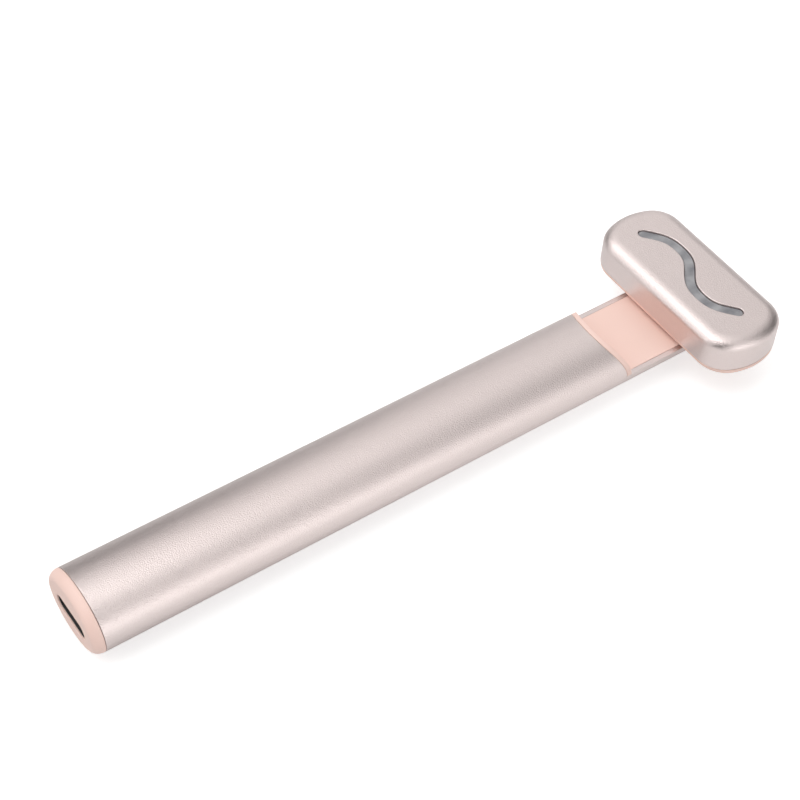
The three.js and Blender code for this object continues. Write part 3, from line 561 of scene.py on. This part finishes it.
def anodised_aluminium():
    """Extruded aluminium, sandblasted and anodised a pale rose: a soft sheen that breaks up into bright and dark
    grains where light turns to shade, and that changes a little from place to place, as the etch does.
    Blasting pits are about 0.1 mm. They are drawn 0.2 mm wide, so that they show."""
    material, tree, shader, place = new_material("anodised_aluminium", roughness=0.31, metallic=1.0)
    pits = add(tree, "ShaderNodeTexNoise", Vector=place, Scale=per_mm(0.2), Detail=1.0)
    etch = add(tree, "ShaderNodeTexNoise", Vector=place, Scale=per_mm(18), Detail=2.0)
    shine = add(tree, "ShaderNodeMapRange", Value=(etch, "Fac"), To_Min=0.28, To_Max=0.34)
    tint = add(tree, "ShaderNodeMix", {"data_type": "RGBA"}, Factor=(pits, "Fac"),
               i6=linear("d9cbc8"), i7=linear("e1d5d2"))
    blast = add(tree, "ShaderNodeBump", Height=(pits, "Fac"), Strength=1.0, Distance=0.00007)
    feed(tree, shader, Base_Color=(tint, 2), Roughness=(shine, 0), Normal=(blast, 0))
    return material


def pink_abs():
    """ABS moulded in a finely spark-eroded tool: an even pale pink with a broad, weak highlight, and a faint
    cloudiness, 11 mm wide, from the flow of the plastic. The eroded texture is about 0.05 mm. It is drawn 0.25 mm
    wide, so that it shows."""
    material, tree, shader, place = new_material("pink_abs", roughness=0.42, ior=1.53)
    erosion = add(tree, "ShaderNodeTexNoise", Vector=place, Scale=per_mm(0.25), Detail=1.0)
    flow = add(tree, "ShaderNodeTexNoise", Vector=place, Scale=per_mm(11), Detail=1.0, Distortion=0.6)
    tint = add(tree, "ShaderNodeMix", {"data_type": "RGBA"}, Factor=(flow, "Fac"),
               i6=linear("f1d0c4"), i7=linear("f7d7cc"))
    gloss = add(tree, "ShaderNodeMapRange", Value=(erosion, "Fac"), To_Min=0.38, To_Max=0.48)
    texture = add(tree, "ShaderNodeBump", Height=(erosion, "Fac"), Strength=0.12, Distance=0.00002)
    feed(tree, shader, Base_Color=(tint, 2), Roughness=(gloss, 0), Normal=(texture, 0))
    return material


def frosted_acrylic():
    """Frosted acrylic over the dark light board: a milky grey, lighter above each of the six lamps, which stand
    4.15 mm apart, and mottled in patches of 1.6 mm where the frosting is uneven."""
    material, tree, shader, place = new_material("frosted_acrylic", roughness=0.36, ior=1.49)
    low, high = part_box("led_1")
    turns = 2 * math.pi / 0.00415
    along = add(tree, "ShaderNodeSeparateXYZ", Vector=place)
    turn = add(tree, "ShaderNodeMath", {"operation": "MULTIPLY_ADD"}, i0=(along, "Y"), i1=turns,
               i2=-turns * (low.y + high.y) / 2)
    swell = add(tree, "ShaderNodeMath", {"operation": "COSINE"}, i0=(turn, 0))
    frost = add(tree, "ShaderNodeTexNoise", Vector=place, Scale=per_mm(1.6), Detail=3.0)
    share = add(tree, "ShaderNodeMath", {"operation": "MULTIPLY_ADD"}, i0=(swell, 0), i1=0.24, i2=(frost, "Fac"))
    tint = add(tree, "ShaderNodeMix", {"data_type": "RGBA"}, Factor=(share, 0),
               i6=linear("6d6d72"), i7=linear("a9a8aa"))
    feed(tree, shader, Base_Color=(tint, 2))
    return material


def nickel_plated_steel():
    """Cold-rolled steel, stamped and nickel plated: a grey shine drawn out into faint rolling lines along X. The
    lines are about 0.05 mm wide. They are drawn at 0.2 mm, so that they show."""
    material, tree, shader, place = new_material("nickel_plated_steel", roughness=0.28, metallic=1.0, colour="c3c4c6")
    rolled = add(tree, "ShaderNodeMapping", Vector=place, Scale=(0.08, 1.0, 1.0))
    lines = add(tree, "ShaderNodeTexNoise", Vector=(rolled, 0), Scale=per_mm(0.2), Detail=3.0)
    shine = add(tree, "ShaderNodeMapRange", Value=(lines, "Fac"), To_Min=0.2, To_Max=0.38)
    groove = add(tree, "ShaderNodeBump", Height=(lines, "Fac"), Strength=0.3, Distance=0.00001)
    feed(tree, shader, Roughness=(shine, 0), Normal=(groove, 0))
    return material


def turned_brass():
    """Free-cutting brass off the lathe: fine grooves 0.18 mm apart round the piece, and a warm yellow shine, with a
    slight stain in patches of 2.5 mm."""
    material, tree, shader, place = new_material("turned_brass", roughness=0.27, metallic=1.0)
    grooves = add(tree, "ShaderNodeTexWave", {"bands_direction": "Z"}, Vector=place, Scale=bands_per_mm(0.18),
                  Distortion=0.6, Detail=1.0)
    stain = add(tree, "ShaderNodeTexNoise", Vector=place, Scale=per_mm(2.5), Detail=3.0)
    tint = add(tree, "ShaderNodeMix", {"data_type": "RGBA"}, Factor=(stain, "Fac"),
               i6=linear("bd9a55"), i7=linear("d6b970"))
    relief = add(tree, "ShaderNodeBump", Height=(grooves, "Fac"), Strength=0.4, Distance=0.00002)
    feed(tree, shader, Base_Color=(tint, 2), Normal=(relief, 0))
    return material


def tinned_copper():
    """Copper alloy strip with a thin coat of tin: reddish, and greyer in patches of 0.7 mm where the tin is thick."""
    material, tree, shader, place = new_material("tinned_copper", roughness=0.32, metallic=1.0)
    coat = add(tree, "ShaderNodeTexNoise", Vector=place, Scale=per_mm(0.7), Detail=4.0)
    tint = add(tree, "ShaderNodeMix", {"data_type": "RGBA"}, Factor=(coat, "Fac"),
               i6=linear("b97a55"), i7=linear("c9b3a6"))
    feed(tree, shader, Base_Color=(tint, 2))
    return material


def gold_plate():
    """Gold flashed over nickel on the contacts: a warm, fairly smooth shine with faint wiping marks along X. The
    marks are finer than 0.05 mm. They are drawn at 0.12 mm, so that they show."""
    material, tree, shader, place = new_material("gold_plate", roughness=0.22, metallic=1.0, colour="e0bb6a")
    wiped = add(tree, "ShaderNodeMapping", Vector=place, Scale=(0.15, 1.0, 1.0))
    marks = add(tree, "ShaderNodeTexNoise", Vector=(wiped, 0), Scale=per_mm(0.12), Detail=1.0)
    shine = add(tree, "ShaderNodeMapRange", Value=(marks, "Fac"), To_Min=0.15, To_Max=0.3)
    feed(tree, shader, Roughness=(shine, 0))
    return material


def glass_filled_nylon():
    """Black nylon with glass fibre: dull, with fine paler flecks where fibres come near the skin. A fibre is 0.01 mm
    thick. The flecks are drawn at 0.15 mm, so that they show."""
    material, tree, shader, place = new_material("glass_filled_nylon", roughness=0.5, ior=1.53)
    drawn = add(tree, "ShaderNodeMapping", Vector=place, Scale=(0.35, 1.0, 1.0))
    fibres = add(tree, "ShaderNodeTexNoise", Vector=(drawn, 0), Scale=per_mm(0.15), Detail=4.0, Roughness=0.7)
    tint = add(tree, "ShaderNodeMix", {"data_type": "RGBA"}, Factor=(fibres, "Fac"),
               i6=linear("151517"), i7=linear("2c2c2f"))
    dull = add(tree, "ShaderNodeMapRange", Value=(fibres, "Fac"), To_Min=0.42, To_Max=0.6)
    feed(tree, shader, Base_Color=(tint, 2), Roughness=(dull, 0))
    return material


def white_acetal():
    """Moulded acetal: a waxy white with faint flow lines 5 mm wide."""
    material, tree, shader, place = new_material("white_acetal", roughness=0.38, ior=1.48)
    flow = add(tree, "ShaderNodeTexNoise", Vector=place, Scale=per_mm(5), Detail=2.0, Distortion=1.2)
    tint = add(tree, "ShaderNodeMix", {"data_type": "RGBA"}, Factor=(flow, "Fac"),
               i6=linear("e2e0da"), i7=linear("efede9"))
    feed(tree, shader, Base_Color=(tint, 2))
    return material


def solder_mask():
    """Glass-fibre laminate under a green mask: copper tracks 0.5 mm apart show through as paler lines in relief,
    and the weave of the glass, 0.4 mm wide, gives the ground a fine unevenness."""
    material, tree, shader, place = new_material("solder_mask", roughness=0.3, ior=1.55)
    tracks = add(tree, "ShaderNodeTexBrick", {"offset": 0.37}, Vector=place, Scale=per_mm(1.0),
                 Color1=linear("1d5233"), Color2=linear("225b39"), Mortar=linear("3c8a58"),
                 Mortar_Size=0.11, Mortar_Smooth=0.2, Brick_Width=6.5, Row_Height=0.5)
    weave = add(tree, "ShaderNodeTexNoise", Vector=place, Scale=per_mm(0.4), Detail=2.0)
    grain = add(tree, "ShaderNodeMix", {"data_type": "RGBA", "blend_type": "OVERLAY"}, Factor=0.25,
                i6=(tracks, "Color"), i7=(weave, "Color"))
    relief = add(tree, "ShaderNodeBump", Height=(tracks, "Fac"), Strength=0.5, Distance=0.00003)
    feed(tree, shader, Base_Color=(grain, 2), Normal=(relief, 0))
    return material


def pouch_foil():
    """Aluminium laminate round the cell: a soft silver, crinkled in folds 2 to 3 mm wide with creases of 0.5 mm."""
    material, tree, shader, place = new_material("pouch_foil", roughness=0.3, metallic=1.0, colour="cacccf")
    folds = add(tree, "ShaderNodeTexVoronoi", {"feature": "SMOOTH_F1"}, Vector=place, Scale=per_mm(2.6),
                Smoothness=0.5)
    creases = add(tree, "ShaderNodeTexNoise", Vector=place, Scale=per_mm(0.5), Detail=3.0)
    height = add(tree, "ShaderNodeMath", {"operation": "MULTIPLY_ADD"}, i0=(creases, "Fac"), i1=0.2,
                 i2=(folds, "Distance"))
    relief = add(tree, "ShaderNodeBump", Height=(height, 0), Strength=0.5, Distance=0.00025)
    feed(tree, shader, Normal=(relief, 0))
    return material


def neoprene_foam():
    """Closed-cell foam rubber: charcoal, quite dull, with open cells 0.35 mm wide on its cut faces.
    Each cell is painted darker towards its sunken middle, as painted shade in the hollow.
    """
    material, tree, shader, place = new_material("neoprene_foam", roughness=0.9, ior=1.52)
    cells = add(tree, "ShaderNodeTexVoronoi", Vector=place, Scale=per_mm(0.35))
    # Painted shade: the colour darkens towards the middle of each cell, where the bump sinks it.
    tint = add(tree, "ShaderNodeMix", {"data_type": "RGBA"}, Factor=(cells, "Distance"),
               i6=linear("27282a"), i7=linear("55565a"))
    relief = add(tree, "ShaderNodeBump", Height=(cells, "Distance"), Strength=0.7, Distance=0.0001)
    feed(tree, shader, Base_Color=(tint, 2), Normal=(relief, 0))
    return material


def pressed_ferrite():
    """Pressed and sintered ferrite: dark grey and gritty, with paler specks. The grit is finer than 0.1 mm. It is
    drawn 0.2 mm wide, so that it shows."""
    material, tree, shader, place = new_material("pressed_ferrite", roughness=0.65, ior=1.6)
    specks = add(tree, "ShaderNodeTexNoise", Vector=place, Scale=per_mm(0.2), Detail=4.0, Roughness=0.7)
    tint = add(tree, "ShaderNodeMix", {"data_type": "RGBA"}, Factor=(specks, "Fac"),
               i6=linear("323234"), i7=linear("656568"))
    grit = add(tree, "ShaderNodeBump", Height=(specks, "Fac"), Strength=0.5, Distance=0.00004)
    feed(tree, shader, Base_Color=(tint, 2), Normal=(grit, 0))
    return material


def silicone_insulation(name, dark, pale):
    """Extruded silicone rubber on a wire: a soft sheen, dulled in patches of 1.2 mm by the talc it is packed with."""
    material, tree, shader, place = new_material(name, roughness=0.45, ior=1.43)
    talc = add(tree, "ShaderNodeTexNoise", Vector=place, Scale=per_mm(1.2), Detail=4.0)
    tint = add(tree, "ShaderNodeMix", {"data_type": "RGBA"}, Factor=(talc, "Fac"),
               i6=linear(dark), i7=linear(pale))
    dull = add(tree, "ShaderNodeMapRange", Value=(talc, "Fac"), To_Min=0.34, To_Max=0.6)
    feed(tree, shader, Base_Color=(tint, 2), Roughness=(dull, 0))
    return material


def polyimide_heater():
    """Amber polyimide film with an etched heating track: glossy, with coppery lines 1.2 mm apart under the film."""
    material, tree, shader, place = new_material("polyimide_heater", roughness=0.24, ior=1.7)
    track = add(tree, "ShaderNodeTexWave", {"bands_direction": "Y"}, Vector=place, Scale=bands_per_mm(1.2))
    edge = add(tree, "ShaderNodeMapRange", Value=(track, "Fac"), From_Min=0.45, From_Max=0.6)
    tint = add(tree, "ShaderNodeMix", {"data_type": "RGBA"}, Factor=(edge, 0),
               i6=linear("b8772a"), i7=linear("8a4a22"))
    relief = add(tree, "ShaderNodeBump", Height=(edge, 0), Strength=0.4, Distance=0.00003)
    feed(tree, shader, Base_Color=(tint, 2), Normal=(relief, 0))
    return material


FINISHES = {
    "rose_aluminium": anodised_aluminium(),
    "pink_plastic": pink_abs(),
    "grey_guide": frosted_acrylic(),
    "white_plastic": white_acetal(),
    "black_plastic": glass_filled_nylon(),
    "circuit_board": solder_mask(),
    "ferrite": pressed_ferrite(),
    "cell_foil": pouch_foil(),
    "foam": neoprene_foam(),
    "red_insulation": silicone_insulation("red_silicone", "a52b27", "b8433c"),
    "black_insulation": silicone_insulation("black_silicone", "0d0c0c", "1f1c1b"),
    "steel": nickel_plated_steel(),
    "brass": turned_brass(),
    "copper": tinned_copper(),
    "polyimide": polyimide_heater(),
}


def dress(piece, body, slot, *stands_for, finish=None):
    """Gives a piece the body it moves with and its slot's finish, or one of its own, in the place of some nodes."""
    piece.data.materials.clear()
    piece.data.materials.append(finish or FINISHES[slot])
    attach(piece, body)
    if stands_for:
        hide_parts(*stands_for)


slots = {entry["node"]: entry["material_slot"] for entry in frame["record"]["subparts"]}
for name, node_object in frame["nodes"].items():
    node_object.data.materials.clear()
    node_object.data.materials.append(FINISHES[slots[name]])


dress(make_tube(), "handle", "rose_aluminium", "handle_tube")
dress(make_cap(), "handle", "pink_plastic", "tail_cap")
dress(make_receptacle(), "handle", "steel", "usb_shell")
# Painted shade: the black filler in the slot stands for the shade inside it.
dress(make_slot_shade_filler(), "handle", "black_insulation")
dress(make_tongue(), "handle", "black_plastic", "usb_tongue")
dress(make_contacts(), "handle", "brass", finish=gold_plate())
dress(make_neck(), "handle", "pink_plastic", "neck_insert")
dress(make_head_shell(), "head", "rose_aluminium", "head_shell")
dress(make_head_base(), "head", "pink_plastic", "head_base")
dress(make_guide(), "head", "grey_guide", "light_guide")

# Room, lamps and camera

MIDDLE = (71.655, 0, 0)  # where the lamps aim, halfway along the wand

# Where the white tent round the wand is lit: direction, the cosines where the light begins and where it is full,
# and brightness.
TENT = [
    (-90, 18, 0.45, 1.00, 1.10),
    (142, 30, 0.62, 0.88, 1.36),
    (112, 58, 0.93, 1.00, 0.50),
    (200, 66, 0.84, 1.00, 0.60),
    (45, 18, 0.45, 1.00, 0.21),
    (45, 55, 0.60, 1.00, 0.27),
    (28, 4, 0.93, 1.00, 0.40),
    (0, 90, 0.55, 1.00, 0.77),
    (0, -90, 0.05, 0.60, 0.55),  # the pale underside of the tent, seen only where the floor is taken away
]

# Where the tent is open and dark, towards the photographer and at its far seam: direction, and width as a cosine.
OPENINGS = [(232, 49, 0.88), (112, 2, 0.88)]
OPENING_EDGE = 0.08
OPENING_LIGHT = 0.15  # the share of the tent's light that is left in an opening


def towards(azimuth, elevation):
    """The direction at these angles, in degrees, round and above the wand."""
    around, up = math.radians(azimuth), math.radians(elevation)
    return Vector((math.cos(up) * math.cos(around), math.cos(up) * math.sin(around), math.sin(up)))


def softbox(name, azimuth, elevation, distance, size, strength, aim=MIDDLE):
    """A soft lamp in a direction from what it aims at, with the brightness that its panel shows. Its distance and
    size are in metres."""
    lamp = bpy.data.lights.new(name, "AREA")
    lamp.shape = "RECTANGLE"
    lamp.size, lamp.size_y = size
    lamp.energy = strength * math.pi * size[0] * size[1]
    ray = towards(azimuth, elevation)
    made = new_object(name, lamp)
    made.location = at(*aim) + ray * distance
    made.rotation_euler = ray.to_track_quat("Z", "Y").to_euler()


def make_floor():
    """A pale studio floor that shows white to the camera and keeps a soft shadow of the wand. In reflections it
    shows a painted glow on the near side, and the glow fades out behind the wand as painted shade."""
    far = 6.0
    to_behind = (-0.35, 0.94, 0)
    mesh = bpy.data.meshes.new("floor")
    mesh.from_pydata([(-far, -far, 0), (far, -far, 0), (far, far, 0), (-far, far, 0)], [], [(0, 1, 2, 3)])
    floor = new_object("floor", mesh)
    material, tree, shader, place = new_material("pale_floor", roughness=0.9, colour="d8d8d8")
    ray = add(tree, "ShaderNodeLightPath")
    seen = add(tree, "ShaderNodeMath", {"operation": "MAXIMUM"}, i0=(ray, "Is Glossy Ray"),
               i1=(ray, "Is Transmission Ray"))
    # Painted shade: the glow seen in reflections falls to nothing behind the wand, where the wand shades the floor.
    behind = add(tree, "ShaderNodeVectorMath", {"operation": "DOT_PRODUCT"}, i0=place, i1=to_behind)
    bright = add(tree, "ShaderNodeMapRange", Value=(behind, "Value"), From_Min=-0.01, From_Max=0.04,
                 To_Min=0.29, To_Max=0.0)
    painted_reflection_glow = add(tree, "ShaderNodeMath", {"operation": "MULTIPLY"}, i0=(seen, 0), i1=(bright, 0))
    glow = add(tree, "ShaderNodeMath", {"operation": "MULTIPLY_ADD"}, i0=(ray, "Is Camera Ray"), i1=0.56,
               i2=(painted_reflection_glow, 0))
    feed(tree, shader, Emission_Color=(1, 1, 1, 1), Emission_Strength=(glow, 0))
    floor.data.materials.append(material)


def make_room():
    """A white photographer's tent, softly lit from above, behind and the near side, that shows as plain white."""
    world = bpy.data.worlds.new("tent")
    world.use_nodes = True
    tree = world.node_tree
    place = add(tree, "ShaderNodeTexCoord")
    parts = [(towards(azimuth, elevation), begin, full, 0.0, brightness, "ADD")
             for azimuth, elevation, begin, full, brightness in TENT]
    parts += [(towards(azimuth, elevation), spread, spread + OPENING_EDGE, 1.0, OPENING_LIGHT, "MULTIPLY")
              for azimuth, elevation, spread in OPENINGS]
    light = None
    for direction, begin, full, outside, inside, operation in parts:
        near = add(tree, "ShaderNodeVectorMath", {"operation": "DOT_PRODUCT"}, i0=(place, "Generated"), i1=direction)
        part = add(tree, "ShaderNodeMapRange", {"interpolation_type": "SMOOTHSTEP"}, Value=(near, "Value"),
                   From_Min=begin, From_Max=full, To_Min=outside, To_Max=inside)
        light = add(tree, "ShaderNodeMath", {"operation": operation}, i0=(part, 0), i1=(light, 0)) if light else part
    ray = add(tree, "ShaderNodeLightPath")
    shown = add(tree, "ShaderNodeMix", Factor=(ray, "Is Camera Ray"), A=(light, 0), B=1.0)
    feed(tree, tree.nodes["Background"], Color=(1, 1, 1, 1), Strength=(shown, 0))
    bpy.context.scene.world = world


def make_camera():
    """The view of the photograph, from above the near side, towards the head."""
    data = bpy.data.cameras.new("camera")
    data.sensor_width = 36.0
    data.lens = 82.40
    data.clip_start = 0.01
    data.clip_end = 20.0
    right = Vector((0.82211, -0.56778, 0.04185))
    up = Vector((0.40546, 0.63551, 0.65706))
    back = Vector((-0.39967, -0.52321, 0.75267))
    turn = Matrix((right, up, back)).transposed().to_4x4()
    camera = new_object("camera", data)
    camera.matrix_world = Matrix.Translation(at(-65.963, -172.394, 262.038)) @ turn
    bpy.context.scene.camera = camera


make_floor()
make_room()
softbox("overhead", 180, 80, distance=0.43, size=(0.17, 0.17), strength=1.55, aim=(70, 0, 0))
softbox("near_strip", -85, 19, distance=0.6, size=(0.62, 0.28), strength=0.66)
softbox("far_panel", 52, 18, distance=0.6, size=(0.42, 0.3), strength=0.65)
softbox("far_high", 40, 48, distance=0.6, size=(0.45, 0.25), strength=0.3)
make_camera()
bpy.context.scene.view_settings.view_transform = "Standard"
